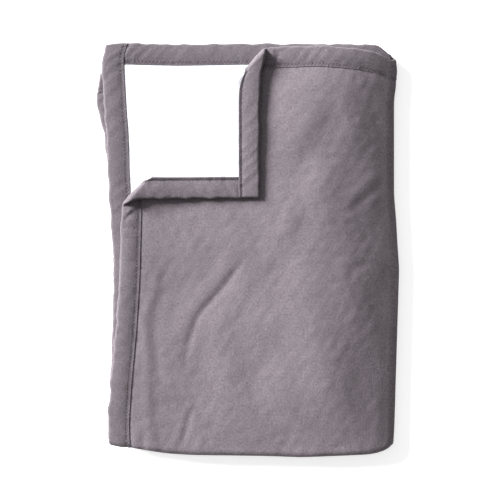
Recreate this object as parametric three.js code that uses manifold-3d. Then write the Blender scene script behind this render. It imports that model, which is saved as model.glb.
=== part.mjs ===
// Infrared sauna blanket, folded twice into a flat pack, with one corner of the top leaf turned back.
// Millimetres, +Z up. The origin is under the middle of the pack, on the surface that it lies on.
//
// Every cloth piece is drawn flat, as it is cut, in the blanket's own coordinates:
//   u  across the blanket, 0 on the side fold, which is the pack's right edge,
//   v  along the blanket, 0 on the first fold, which is the pack's near edge,
//   h  through the blanket, 0 on the outer cover's face and LEAF on the lining's face.
// folded() then carries each of its points to its place in the pack. The leaves, from the top down, are
// the head leaf and foot leaf of the upper half (u < 0), then the foot leaf and head leaf of the lower half.

import * as THREE from 'three';
import { RoundedBoxGeometry } from 'three/addons/geometries/RoundedBoxGeometry.js';
import { mergeVertices } from 'three/addons/utils/BufferGeometryUtils.js';
import Module from 'manifold-3d';

// Pack
const PACK_WIDTH = 700;
const PACK_LENGTH = 960;
const LEAF = 9.2;
const LINING_GAP = 1.2; // between two leaves that face each other with their linings
const COVER_GAP = 1.2; // between the upper and the lower half
const UPPER_INSET = 34; // the upper half's side edge lies this far inside the lower half's
const GAP = 0.3; // between pieces that touch
const FOLD_STEPS = 8; // facets round half a turn

// Layers of a leaf: their two faces, as h
const OUTER_COVER = [0, 1.2];
const WADDING = [1.5, 4.3];
const HEATER_CARRIER = [7.4, 8.1];
const LINING = [8.4, LEAF];
const WIRE_H = 5.9; // heating wires and leads lie between the wadding and the carrier

// Edge binding: a folded strip round each raw edge
const BINDING_WIDTH = 50;
const BINDING_EDGE = 1.2;

// Turned corner of the top leaf
const CORNER_LEG_U = 368;
const CORNER_LEG_V = 388;
const ROLL_RADIUS = 7; // of the leaf's middle
const ROLL_GAP = 0.9;

// Heating circuit, placed in one half; the other half's mirrors it
const RUNS = 4;
const FIRST_RUN = 150;
const RUN_PITCH = 140;
const RUN_TURN = 25; // radius of the wire's turns
const FIELD_MARGIN = 150; // from the head and foot edges to the heated field
const CORNER_MARGIN = 60; // from the turned corner's fold to the heated field
const RETURN_MARGIN = 108; // from the foot edge to the wire's way back
const LEAD_MARGIN = 58; // from the foot edge to the lead between the halves
const WIRE_RADIUS = 1.1;
const LEAD_RADIUS = 1;
const THERMOSTAT = { size: [24, 12, 4.6], h: 4.6, pocket: 1.5 };
const SENSOR = { size: [16, 7, 2.4], u: 360, margin: 78 };

// Socket in the lower half's foot edge
const SOCKET = { u: 220, width: 34, height: 8.6, depth: 36, corner: 2 };
const CAVITY = { width: 26, height: 5, depth: 18, corner: 1 };
const PIN = { count: 3, pitch: 8, radius: 0.75, proud: 9, bore: 1.05 };

// Places that follow from these
const PAIR_RADIUS = (LINING_GAP + LEAF) / 2;
const SIDE_RADIUS = (COVER_GAP + LINING_GAP) / 2 + LEAF;
const PACK_MIDDLE = SIDE_RADIUS + LINING_GAP / 2 + LEAF;
const FIRST_FOLD_Y = LINING_GAP / 2 + LEAF - PACK_LENGTH / 2;
const SIDE_FOLD_X = PACK_WIDTH / 2 - PACK_MIDDLE;
const FIRST_FOLD_V = (PAIR_RADIUS * Math.PI) / 2;
const SIDE_FOLD_U = (SIDE_RADIUS * Math.PI) / 2;
const EDGE_V = PACK_LENGTH / 2 - FIRST_FOLD_Y + FIRST_FOLD_V;
const LOWER_U = PACK_WIDTH / 2 + SIDE_FOLD_X + SIDE_FOLD_U;
const UPPER_U = UPPER_INSET - LOWER_U;
const ROLL_INNER = ROLL_RADIUS - LEAF / 2;
const ROLL_LENGTH = ROLL_RADIUS * Math.PI;
const COVERED = BINDING_WIDTH + GAP; // where the cover and the lining start, from the edge
const FILLED = BINDING_EDGE + GAP; // where the wadding and the carrier start, from the edge

const CLOTH = { color: 0x8b8388, roughness: 0.95 };
const PLASTIC = { color: 0x202124, roughness: 0.5 };
const MATERIALS = {
  outer_cover: new THREE.MeshStandardMaterial(CLOTH),
  binding: new THREE.MeshStandardMaterial({ ...CLOTH, color: 0x7f777c }),
  wadding: new THREE.MeshStandardMaterial({ color: 0xe6e3da, roughness: 1 }),
  carrier: new THREE.MeshStandardMaterial({ color: 0xc9c6bf, roughness: 1 }),
  lining: new THREE.MeshStandardMaterial({ color: 0xf3f5f8, roughness: 0.8 }),
  wire: new THREE.MeshStandardMaterial({ color: 0xb5523a, roughness: 0.6 }),
  lead: new THREE.MeshStandardMaterial({ color: 0x303236, roughness: 0.6 }),
  plastic: new THREE.MeshStandardMaterial(PLASTIC),
  contact: new THREE.MeshStandardMaterial({ color: 0xc8a24a, roughness: 0.35, metalness: 1 }),
};

const wasm = await Module();
wasm.setup();

// ---- closed meshes ----------------------------------------------------------------------------

function signedVolume(geometry) {
  const p = geometry.attributes.position;
  const [a, b, c] = [new THREE.Vector3(), new THREE.Vector3(), new THREE.Vector3()];
  let six = 0;
  for (let i = 0; i < geometry.index.count; i += 3) {
    a.fromBufferAttribute(p, geometry.index.getX(i));
    b.fromBufferAttribute(p, geometry.index.getX(i + 1));
    c.fromBufferAttribute(p, geometry.index.getX(i + 2));
    six += a.dot(b.cross(c));
  }
  return six / 6;
}

// The same shape with its shared corners merged and its faces pointing out.
function closed(geometry) {
  geometry.deleteAttribute('normal');
  geometry.deleteAttribute('uv');
  const merged = mergeVertices(geometry, 1e-4);
  if (signedVolume(merged) < 0) merged.index.array.reverse();
  return merged;
}

function moved(geometry, place) {
  const p = geometry.attributes.position;
  for (let i = 0; i < p.count; i++) {
    const to = place(p.getX(i), p.getY(i), p.getZ(i));
    p.setXYZ(i, to.x, to.y, to.z);
  }
  return closed(geometry);
}

function solid(geometry) {
  const vertProperties = new Float32Array(geometry.attributes.position.array);
  const triVerts = new Uint32Array(geometry.index.array);
  return new wasm.Manifold(new wasm.Mesh({ numProp: 3, vertProperties, triVerts }));
}

function cut(geometry, ...tools) {
  const result = tools.reduce((rest, tool) => rest.subtract(solid(closed(tool))), solid(geometry));
  const mesh = result.getMesh();
  const out = new THREE.BufferGeometry();
  out.setAttribute('position', new THREE.BufferAttribute(mesh.vertProperties, 3));
  out.setIndex(new THREE.BufferAttribute(mesh.triVerts, 1));
  return out;
}

// ---- the folds --------------------------------------------------------------------------------

function folded(u, v, h) {
  const fromPairMiddle = LINING_GAP / 2 + LEAF - h;
  const first = THREE.MathUtils.clamp(v / PAIR_RADIUS, -Math.PI / 2, Math.PI / 2);
  const along = Math.max(Math.abs(v) - FIRST_FOLD_V, 0);
  const y = FIRST_FOLD_Y + along - fromPairMiddle * Math.cos(first);
  const fromPackMiddle = SIDE_RADIUS + fromPairMiddle * Math.sin(first);
  const side = THREE.MathUtils.clamp(u / SIDE_RADIUS + Math.PI / 2, 0, Math.PI);
  const across = Math.max(Math.abs(u) - SIDE_FOLD_U, 0);
  const x = SIDE_FOLD_X - across + fromPackMiddle * Math.sin(side);
  return new THREE.Vector3(x, y, PACK_MIDDLE + fromPackMiddle * Math.cos(side));
}

// The corner's fold line, from the head edge to the side edge. Beyond it, a point's distance from the
// line is the length that the roll and the flap take up.
const LINE_START = new THREE.Vector2(UPPER_U + CORNER_LEG_U, EDGE_V);
const OUTWARD = new THREE.Vector2(-CORNER_LEG_V, CORNER_LEG_U).normalize();

function beyondLine(u, v) {
  return (u - LINE_START.x) * OUTWARD.x + (v - LINE_START.y) * OUTWARD.y;
}

function lineU(v, beyond) {
  return LINE_START.x + (beyond - (v - LINE_START.y) * OUTWARD.y) / OUTWARD.x;
}

function lineV(u, beyond) {
  return LINE_START.y + (beyond - (u - LINE_START.x) * OUTWARD.x) / OUTWARD.y;
}

// A point of the turned corner, on the roll or on the flap that lies back on the leaf.
function turned(u, v, h) {
  const beyond = beyondLine(u, v);
  const angle = THREE.MathUtils.clamp(beyond / ROLL_RADIUS, 0, Math.PI);
  const radius = ROLL_INNER + h;
  const reach = radius * Math.sin(angle) - Math.max(beyond - ROLL_LENGTH, 0) - beyond;
  const at = folded(u + reach * OUTWARD.x, v + reach * OUTWARD.y, 0);
  at.z += ROLL_INNER - radius * Math.cos(angle);
  return at;
}

function rollStep(step) {
  return GAP / 2 + (step / FOLD_STEPS) * (ROLL_LENGTH - GAP);
}

// Steps from one value to another, ends included.
function stepped(from, to, steps) {
  return Array.from({ length: steps + 1 }, (_, i) => from + ((to - from) * i) / steps);
}

const FIRST_FOLD_STEPS = stepped(FIRST_FOLD_V, -FIRST_FOLD_V, FOLD_STEPS);
const SIDE_FOLD_STEPS = stepped(GAP / 2 - SIDE_FOLD_U, SIDE_FOLD_U - GAP / 2, FOLD_STEPS);

// ---- builders of flat pieces ------------------------------------------------------------------

// A slab with a grid of columns and rows: place(column, row, h) puts each of its corners.
function slab(columns, rows, [low, high], place) {
  const box = new THREE.BoxGeometry(1, 1, 1, columns, rows, 1);
  return moved(box, (x, y, z) => {
    return place(Math.round((x + 0.5) * columns), Math.round((y + 0.5) * rows), z < 0 ? low : high);
  });
}

// The binding's section, a C round the raw edge: distance from the edge, then h.
const BINDING_OUTLINE = new THREE.Shape(
  [
    [0, 0],
    [BINDING_WIDTH, 0],
    [BINDING_WIDTH, OUTER_COVER[1]],
    [BINDING_EDGE, OUTER_COVER[1]],
    [BINDING_EDGE, LINING[0]],
    [BINDING_WIDTH, LINING[0]],
    [BINDING_WIDTH, LEAF],
    [0, LEAF],
  ].map(([a, h]) => new THREE.Vector2(a, h))
);

// A length of binding: place(distance from the edge, h, step) puts each of its corners.
function bindingStrip(steps, place) {
  const options = { depth: steps, steps, bevelEnabled: false };
  const flat = new THREE.ExtrudeGeometry(BINDING_OUTLINE, options);
  return moved(flat, (x, y, z) => place(x, y, Math.round(z)));
}

// A flat plate with a straight-sided outline in (u, v).
function plate(corners, [low, high], place) {
  const outline = new THREE.Shape(corners.map(([u, v]) => new THREE.Vector2(u, v)));
  const flat = new THREE.ExtrudeGeometry(outline, { depth: high - low, bevelEnabled: false });
  return moved(flat, (x, y, z) => place(x, y, low + z));
}

// A curve through given points, which ExtrudeGeometry follows step by step.
class Route extends THREE.Curve {
  constructor(points) {
    super();
    this.points = points;
  }

  getSpacedPoints() {
    return this.points;
  }

  getTangentAt(t, target = new THREE.Vector3()) {
    const last = this.points.length - 1;
    const i = Math.round(t * last);
    const here = this.points[i];
    const back = here.clone().sub(this.points[Math.max(i - 1, 0)]).normalize();
    const ahead = this.points[Math.min(i + 1, last)].clone().sub(here).normalize();
    return target.addVectors(back, ahead).normalize();
  }
}

function tube(route, radius) {
  const points = route.map(([u, v]) => new THREE.Vector3(u, v, WIRE_H));
  const section = new THREE.Shape(new THREE.EllipseCurve(0, 0, radius, radius).getPoints(6).slice(0, 6));
  const options = { steps: points.length - 1, extrudePath: new Route(points) };
  return moved(new THREE.ExtrudeGeometry(section, options), folded);
}

// A route with each of its inner corners rounded.
function rounded(corners, radius) {
  const points = corners.map(([u, v]) => new THREE.Vector2(u, v));
  const route = [points[0]];
  for (let i = 1; i < points.length - 1; i++) {
    const back = points[i - 1].clone().sub(points[i]);
    const ahead = points[i + 1].clone().sub(points[i]);
    const reach = Math.min(radius, back.length() / 2, ahead.length() / 2);
    const from = points[i].clone().addScaledVector(back.normalize(), reach);
    const to = points[i].clone().addScaledVector(ahead.normalize(), reach);
    route.push(...new THREE.QuadraticBezierCurve(from, points[i], to).getPoints(4));
  }
  route.push(points.at(-1));
  return route.map((p) => [p.x, p.y]);
}

// The same route with a step at each facet of the first fold, wherever it crosses it.
function overFirstFold(route) {
  return route.flatMap(([u, v], i) => {
    const next = route[i + 1];
    if (!next || v * next[1] > 0) return [[u, v]];
    const steps = v > 0 ? FIRST_FOLD_STEPS : [...FIRST_FOLD_STEPS].reverse();
    return [[u, v], ...steps.map((at) => [u, at])];
  });
}

// ---- leaves -----------------------------------------------------------------------------------

function lowerPanel(layer, margin) {
  const rows = [EDGE_V - margin, ...FIRST_FOLD_STEPS, margin - EDGE_V];
  const columns = [SIDE_FOLD_U + GAP / 2, LOWER_U - margin];
  return slab(1, rows.length - 1, layer, (i, j, h) => folded(columns[i], rows[j], h));
}

function sideFoldPanel(layer, margin) {
  const rows = [EDGE_V - margin, ...FIRST_FOLD_STEPS, margin - EDGE_V];
  return slab(FOLD_STEPS, rows.length - 1, layer, (i, j, h) => folded(SIDE_FOLD_STEPS[i], rows[j], h));
}

// The upper half stops at the corner's fold line.
function upperPanel(layer, margin) {
  const edge = UPPER_U + margin;
  const rows = [EDGE_V - margin, lineV(edge, -GAP / 2), ...FIRST_FOLD_STEPS, margin - EDGE_V];
  return slab(1, rows.length - 1, layer, (i, j, h) => {
    const start = Math.max(edge, j ? edge : lineU(rows[0], -GAP / 2));
    return folded(i ? -SIDE_FOLD_U - GAP / 2 : start, rows[j], h);
  });
}

// The roll squeezes its inner layers, so the gap between them and the bindings starts out wider.
function rollPanel(layer, margin) {
  const inset = margin + ROLL_GAP;
  return slab(1, FOLD_STEPS, layer, (i, j, h) => {
    const u = i ? lineU(EDGE_V - inset, rollStep(j)) : UPPER_U + inset;
    return turned(u, lineV(u, rollStep(j)), h);
  });
}

function flapPanel(layer, margin) {
  const [u, v] = [UPPER_U + margin, EDGE_V - margin];
  const start = ROLL_LENGTH + GAP / 2;
  return plate([[u, lineV(u, start)], [lineU(v, start), v], [u, v]], layer, turned);
}

// ---- bindings ---------------------------------------------------------------------------------

const OUT_LINE = -GAP / 2;
const FLAP_LINE = ROLL_LENGTH + GAP / 2;

function upperSideBinding() {
  const rows = [...FIRST_FOLD_STEPS, -EDGE_V];
  return bindingStrip(rows.length, (a, h, step) => {
    const u = UPPER_U + a;
    return folded(u, step ? rows[step - 1] : lineV(u, OUT_LINE), h);
  });
}

function rollSideBinding() {
  return bindingStrip(FOLD_STEPS, (a, h, step) => {
    return turned(UPPER_U + a, lineV(UPPER_U + a, rollStep(step)), h);
  });
}

function flapSideBinding() {
  return bindingStrip(1, (a, h, step) => {
    const u = UPPER_U + a;
    return turned(u, step ? EDGE_V - COVERED : lineV(u, FLAP_LINE), h);
  });
}

function upperHeadBinding() {
  return bindingStrip(1, (a, h, step) => {
    const v = EDGE_V - a;
    return folded(step ? -SIDE_FOLD_U - GAP / 2 : lineU(v, OUT_LINE), v, h);
  });
}

function rollHeadBinding() {
  return bindingStrip(FOLD_STEPS, (a, h, step) => {
    return turned(lineU(EDGE_V - a, rollStep(step)), EDGE_V - a, h);
  });
}

function flapHeadBinding() {
  return bindingStrip(1, (a, h, step) => {
    const v = EDGE_V - a;
    return turned(step ? UPPER_U : lineU(v, FLAP_LINE), v, h);
  });
}

// A binding along the head edge (end = 1) or the foot edge (end = -1).
function endBinding(end, columns) {
  return bindingStrip(columns.length - 1, (a, h, step) => folded(columns[step], end * (EDGE_V - a), h));
}

function lowerSideBinding() {
  const rows = [EDGE_V, ...FIRST_FOLD_STEPS, COVERED - EDGE_V];
  return bindingStrip(rows.length - 1, (a, h, step) => folded(LOWER_U - a, rows[step], h));
}

// ---- heating circuit --------------------------------------------------------------------------

const RETURN_V = RETURN_MARGIN - EDGE_V;
const LEAD_V = LEAD_MARGIN - EDGE_V;
const CLEAR_OF_THERMOSTAT = THERMOSTAT.size.map((size) => size / 2 + GAP);

// The wire keeps clear of the head corner, so that the corner can be turned back.
function headEnd(run) {
  const fromEdge = Math.abs(UPPER_U) - run;
  const corner = CORNER_LEG_V * (1 - fromEdge / CORNER_LEG_U) + CORNER_MARGIN;
  return EDGE_V - Math.max(FIELD_MARGIN, corner);
}

// side is 1 in the lower half and -1 in the upper half.
function heatingWire(side) {
  const corners = [];
  for (let i = 0; i < RUNS; i++) {
    const run = FIRST_RUN + i * RUN_PITCH;
    const ends = [FIELD_MARGIN - EDGE_V, headEnd(run)];
    if (i % 2) ends.reverse();
    corners.push([side * run, ends[0]], [side * run, ends[1]]);
  }
  corners[0][1] = RETURN_V + CLEAR_OF_THERMOSTAT[1];
  corners.at(-1)[1] = RETURN_V;
  corners.push([side * (FIRST_RUN + CLEAR_OF_THERMOSTAT[0]), RETURN_V]);
  return tube(overFirstFold(rounded(corners, RUN_TURN)), WIRE_RADIUS);
}

// The upper half's lead runs from the side fold to its thermostat.
function upperLead() {
  const corners = [
    [-SIDE_FOLD_U - GAP / 2, LEAD_V],
    [-FIRST_RUN, LEAD_V],
    [-FIRST_RUN, RETURN_V - CLEAR_OF_THERMOSTAT[1]],
  ];
  return tube(rounded(corners, RUN_TURN), LEAD_RADIUS);
}

const SOCKET_BACK_V = SOCKET.depth + GAP - EDGE_V;
const pinU = (i) => SOCKET.u + (i - (PIN.count - 1) / 2) * PIN.pitch;

function linkLead() {
  const start = [pinU(0), SOCKET_BACK_V];
  const corners = [start, [pinU(0), LEAD_V], [SIDE_FOLD_U + GAP / 2, LEAD_V]];
  return tube(rounded(corners, RUN_TURN), LEAD_RADIUS);
}

function lowerLead() {
  const turn = (LEAD_V + RETURN_V) / 2;
  const corners = [
    [pinU(1), SOCKET_BACK_V],
    [pinU(1), turn],
    [FIRST_RUN, turn],
    [FIRST_RUN, RETURN_V - CLEAR_OF_THERMOSTAT[1]],
  ];
  return tube(rounded(corners, RUN_TURN), LEAD_RADIUS);
}

function sensorLead() {
  const along = SENSOR.margin - EDGE_V;
  const corners = [
    [pinU(2), SOCKET_BACK_V],
    [pinU(2), along],
    [SENSOR.u - SENSOR.size[0] / 2 - GAP, along],
  ];
  return tube(rounded(corners, RUN_TURN), LEAD_RADIUS);
}

function sideFoldLead() {
  return tube(SIDE_FOLD_STEPS.map((u) => [u, LEAD_V]), LEAD_RADIUS);
}

function capsule([length, width, height]) {
  return closed(new RoundedBoxGeometry(length, width, height, 1, height / 4));
}

// The hole in the wadding that a thermostat sits in.
function thermostatPocket(side) {
  const [length, width] = THERMOSTAT.size.map((size) => size + 2 * THERMOSTAT.pocket);
  const at = folded(side * FIRST_RUN, RETURN_V, (WADDING[0] + WADDING[1]) / 2);
  return new THREE.BoxGeometry(length, width, WADDING[1] - WADDING[0] + GAP).translate(at.x, at.y, at.z);
}

// ---- socket -----------------------------------------------------------------------------------

// A bar along Y with rounded edges, its front face at y = 0.
function roundedBar(width, height, depth, corner) {
  const [w, h] = [width / 2 - corner, height / 2 - corner];
  const outline = new THREE.Shape();
  outline.absarc(w, h, corner, 0, Math.PI / 2);
  outline.absarc(-w, h, corner, Math.PI / 2, Math.PI);
  outline.absarc(-w, -h, corner, Math.PI, 1.5 * Math.PI);
  outline.absarc(w, -h, corner, 1.5 * Math.PI, 2 * Math.PI);
  outline.closePath();
  return new THREE.ExtrudeGeometry(outline, { depth, bevelEnabled: false, curveSegments: 4 }).rotateX(
    Math.PI / 2
  );
}

function pinRod(radius, length) {
  return new THREE.CylinderGeometry(radius, radius, length, 12);
}

const pinOffset = (i) => (i - (PIN.count - 1) / 2) * -PIN.pitch;
const PIN_FRONT = PIN.proud - CAVITY.depth;
const PIN_LENGTH = SOCKET.depth + PIN_FRONT;
const PIN_MIDDLE = PIN_FRONT - PIN_LENGTH / 2;

function socketHousing() {
  const body = closed(roundedBar(SOCKET.width, SOCKET.height, SOCKET.depth, SOCKET.corner));
  const cavity = roundedBar(CAVITY.width, CAVITY.height, CAVITY.depth + 1, CAVITY.corner);
  const bores = Array.from({ length: PIN.count }, (_, i) => {
    return pinRod(PIN.bore, PIN_LENGTH + 2).translate(pinOffset(i), PIN_MIDDLE, 0);
  });
  return cut(body, cavity.translate(0, 1, 0), ...bores);
}

// The room that the socket takes in the binding, the wadding and the carrier of its leaf.
function socketNotch() {
  const room = new THREE.BoxGeometry(SOCKET.width + 2 * GAP, 2 * (SOCKET.depth + GAP), LEAF + LINING_GAP);
  const at = folded(SOCKET.u, -EDGE_V, LEAF / 2);
  return room.translate(at.x, at.y, at.z);
}

// ---- assembly ---------------------------------------------------------------------------------

const blanket = new THREE.Group();
const lowerHalf = new THREE.Group();
const upperHalf = new THREE.Group();
const cornerFlap = new THREE.Group();
blanket.add(lowerHalf, upperHalf);
upperHalf.add(cornerFlap);

function add(group, name, geometry, material) {
  const mesh = new THREE.Mesh(geometry, material);
  mesh.name = name;
  group.add(mesh);
  return mesh;
}

// The four layers of the leaves, each in its pieces: lower half, side fold, upper half, roll and flap.
const PANELS = [
  ['outer_cover', OUTER_COVER, COVERED, MATERIALS.outer_cover],
  ['wadding', WADDING, FILLED, MATERIALS.wadding],
  ['heater_carrier', HEATER_CARRIER, FILLED, MATERIALS.carrier],
  ['lining', LINING, COVERED, MATERIALS.lining],
];
const ROOM_IN_LOWER = { wadding: [thermostatPocket(1), socketNotch()], heater_carrier: [socketNotch()] };
const ROOM_IN_UPPER = { wadding: [thermostatPocket(-1)] };
for (const [name, layer, margin, material] of PANELS) {
  const lower = cut(lowerPanel(layer, margin), ...(ROOM_IN_LOWER[name] ?? []));
  const upper = cut(upperPanel(layer, margin), ...(ROOM_IN_UPPER[name] ?? []));
  add(lowerHalf, `lower_${name}`, lower, material);
  add(lowerHalf, `side_fold_${name}`, sideFoldPanel(layer, margin), material);
  add(upperHalf, `upper_${name}`, upper, material);
  add(upperHalf, `corner_roll_${name}`, rollPanel(layer, margin), material);
  add(cornerFlap, `flap_${name}`, flapPanel(layer, margin), material);
}

// The bindings. At each corner of the blanket one strip runs through and the other stops at it.
const LOWER_START = SIDE_FOLD_U + GAP / 2;
const lowerFoot = endBinding(-1, [LOWER_START, LOWER_U]);
add(lowerHalf, 'lower_side_binding', lowerSideBinding(), MATERIALS.binding);
add(lowerHalf, 'lower_head_binding', endBinding(1, [LOWER_START, LOWER_U - COVERED]), MATERIALS.binding);
add(lowerHalf, 'lower_foot_binding', cut(lowerFoot, socketNotch()), MATERIALS.binding);
add(lowerHalf, 'side_fold_head_binding', endBinding(1, SIDE_FOLD_STEPS), MATERIALS.binding);
add(lowerHalf, 'side_fold_foot_binding', endBinding(-1, SIDE_FOLD_STEPS), MATERIALS.binding);
add(upperHalf, 'upper_side_binding', upperSideBinding(), MATERIALS.binding);
add(upperHalf, 'upper_head_binding', upperHeadBinding(), MATERIALS.binding);
add(upperHalf, 'upper_foot_binding', endBinding(-1, [-LOWER_START, UPPER_U + COVERED]), MATERIALS.binding);
add(upperHalf, 'corner_roll_side_binding', rollSideBinding(), MATERIALS.binding);
add(upperHalf, 'corner_roll_head_binding', rollHeadBinding(), MATERIALS.binding);
add(cornerFlap, 'flap_side_binding', flapSideBinding(), MATERIALS.binding);
add(cornerFlap, 'flap_head_binding', flapHeadBinding(), MATERIALS.binding);

// The heating circuit: one wire and one thermostat in each half.
for (const [group, name, side] of [[lowerHalf, 'lower', 1], [upperHalf, 'upper', -1]]) {
  add(group, `${name}_heating_wire`, heatingWire(side), MATERIALS.wire);
  const thermostat = add(group, `${name}_thermostat`, capsule(THERMOSTAT.size), MATERIALS.plastic);
  thermostat.position.copy(folded(side * FIRST_RUN, RETURN_V, THERMOSTAT.h));
}
add(lowerHalf, 'lower_lead', lowerLead(), MATERIALS.lead);
add(lowerHalf, 'link_lead', linkLead(), MATERIALS.lead);
add(lowerHalf, 'side_fold_lead', sideFoldLead(), MATERIALS.lead);
add(upperHalf, 'upper_lead', upperLead(), MATERIALS.lead);
add(lowerHalf, 'sensor_lead', sensorLead(), MATERIALS.lead);
const sensor = add(lowerHalf, 'temperature_sensor', capsule(SENSOR.size), MATERIALS.plastic);
sensor.position.copy(folded(SENSOR.u, SENSOR.margin - EDGE_V, WIRE_H));

// The socket, with its front flush with the foot edge.
const socket = new THREE.Group();
socket.position.copy(folded(SOCKET.u, -EDGE_V, LEAF / 2));
lowerHalf.add(socket);
add(socket, 'socket_housing', socketHousing(), MATERIALS.plastic);
for (let i = 0; i < PIN.count; i++) {
  const pin = add(socket, `contact_pin_${i + 1}`, closed(pinRod(PIN.radius, PIN_LENGTH)), MATERIALS.contact);
  pin.position.set(pinOffset(i), PIN_MIDDLE, 0);
}

export default blanket;
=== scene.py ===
"""Infrared sauna blanket, folded twice into a flat pack, with one corner of the top leaf turned back.

Every cloth piece is drawn flat, in the blanket's own coordinates, in millimetres, as it is cut:
  u  across the blanket, 0 on the side fold, which is the pack's right edge,
  v  along the blanket, 0 on the first fold, which is the pack's near edge,
  h  through the blanket, 0 on the outer cover's face and LEAF on the lining's face.
place() carries it to the pack: it folds it as the frame is folded, then lets it settle as cloth does.
"""

import math

import bmesh
import bpy
import numpy as np
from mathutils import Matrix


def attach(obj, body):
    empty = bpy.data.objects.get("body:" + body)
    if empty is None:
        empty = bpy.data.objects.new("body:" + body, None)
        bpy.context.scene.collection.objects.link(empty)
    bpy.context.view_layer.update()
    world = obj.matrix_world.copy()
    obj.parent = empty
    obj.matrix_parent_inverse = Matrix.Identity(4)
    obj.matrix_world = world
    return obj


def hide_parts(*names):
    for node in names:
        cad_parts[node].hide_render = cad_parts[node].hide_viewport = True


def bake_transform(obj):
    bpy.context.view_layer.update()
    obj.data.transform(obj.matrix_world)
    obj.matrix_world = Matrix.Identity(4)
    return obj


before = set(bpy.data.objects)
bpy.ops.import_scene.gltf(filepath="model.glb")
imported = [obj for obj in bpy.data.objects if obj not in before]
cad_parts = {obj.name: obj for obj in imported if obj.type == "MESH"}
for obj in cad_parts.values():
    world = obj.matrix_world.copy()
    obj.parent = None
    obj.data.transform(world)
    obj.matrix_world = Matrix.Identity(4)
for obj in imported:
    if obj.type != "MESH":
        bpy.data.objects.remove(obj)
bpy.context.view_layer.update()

# Pack, as the frame has it, in millimetres
MM = 0.001
PACK_WIDTH = 700.0
PACK_LENGTH = 960.0
LEAF = 9.2
LINING_GAP = 1.2
COVER_GAP = 1.2
UPPER_INSET = 34.0
MIDDLE = LEAF / 2
PAIR_RADIUS = (LINING_GAP + LEAF) / 2
SIDE_RADIUS = (COVER_GAP + LINING_GAP) / 2 + LEAF
PACK_MIDDLE = SIDE_RADIUS + LINING_GAP / 2 + LEAF
FIRST_FOLD_Y = LINING_GAP / 2 + LEAF - PACK_LENGTH / 2
SIDE_FOLD_X = PACK_WIDTH / 2 - PACK_MIDDLE
FIRST_FOLD_V = PAIR_RADIUS * math.pi / 2
SIDE_FOLD_U = SIDE_RADIUS * math.pi / 2
EDGE_V = PACK_LENGTH / 2 - FIRST_FOLD_Y + FIRST_FOLD_V
LOWER_U = PACK_WIDTH / 2 + SIDE_FOLD_X + SIDE_FOLD_U
UPPER_U = UPPER_INSET - LOWER_U

# Turned corner of the top leaf: its legs along the side edge (V) and the head edge (U)
CORNER_LEG_U = 368.0
CORNER_LEG_V = 388.0
ROLL_RADIUS = 8.4  # the cloth springs open a little more than the frame's roll, which has 7
ROLL_INNER = ROLL_RADIUS - MIDDLE
ROLL_LENGTH = ROLL_RADIUS * math.pi
ROLL_CREASE = 4.6  # half the width of the widest row of faces round the roll
LEG = math.hypot(CORNER_LEG_U, CORNER_LEG_V)
LINE_START = np.array([UPPER_U + CORNER_LEG_U, EDGE_V])
OUTWARD = np.array([-CORNER_LEG_V, CORNER_LEG_U]) / LEG
ALONG = np.array([-CORNER_LEG_U, -CORNER_LEG_V]) / LEG
CORNER_DEPTH = CORNER_LEG_U * CORNER_LEG_V / LEG
PACK_LINE = np.array([45.0, 468.0])  # where the fold line's upper end has settled
LINE_RISE = 2.4  # how much higher that end lies than the lower one
LINE_LIFT = 0.8  # and how much higher than the frame's the lower one lies
SPLIT_LEAN = 0.05  # the slope across the fold line of the direction along which corner_split takes its height
SPLIT_WIDTH = 0.002  # a point within twice this of the split height moves that height on

# Layers of a leaf: their two faces, as h
LAYERS = {
    "outer_cover": (0.0, 1.2),
    "wadding": (1.5, 4.3),
    "heater_carrier": (7.4, 8.1),
    "lining": (8.4, LEAF),
}

# Where the leaves' middles lie, from the lowest up, and how much of the top leaf's loft each one takes
LEVELS = [4.6, 15.0, 25.4, 35.8]
LOFT_SHARE = [0.0, 0.0, 0.4, 1.0]

# How far each edge lies from its drawn place, against the place along it
LEFT_OF_LOWER = [
    (-480, 22), (-100, 34), (170, 33), (245, 18), (303, 14), (347, 8), (380, 0), (402, -8), (452, -2),
    (480, 3),
]
LEFT_OF_THIRD = [
    (-433, -9), (-349, -4), (-140, 1), (-24, 2), (41, -3), (124, -9), (184, -12), (254, -14), (324, -20),
    (440, -27), (462, -25), (478, -12),
]
LEFT_OF_TOP = [(-470, -8), (-423, -11), (-328, -4), (-194, 9), (-59, 18), (103, 22), (480, 22)]
RIGHT = [
    (-480, -10), (-430, -7), (-320, -4), (-182, 0), (-43, 4), (13, 0), (70, -3), (135, -8), (385, -8),
    (425, -1), (455, -1), (480, -3),
]
TOP_OF_LOWER = [
    (-362, -76), (-346, -64), (-320, -59), (-300, -40), (-280, -12), (-240, -1), (-60, 0), (305, 0),
    (328, -17), (340, -28), (352, -44),
]
TOP_OF_THIRD = [
    (-345, -10), (-326, -3), (-286, 3), (-150, -1), (0, 1), (305, -1), (328, -18), (340, -29), (352, -45),
]
TOP_OF_TOP = [(-100, -11), (46, -10), (165, -7), (258, -14), (300, -21), (325, -31), (345, -44), (360, -56)]
BOTTOM = [
    (-340, 30), (-297, 21), (-241, 14), (-186, 5), (-130, 1), (37, -1), (120, -4), (204, -1), (288, 2),
    (316, 6), (335, 13), (350, 25),
]

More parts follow.
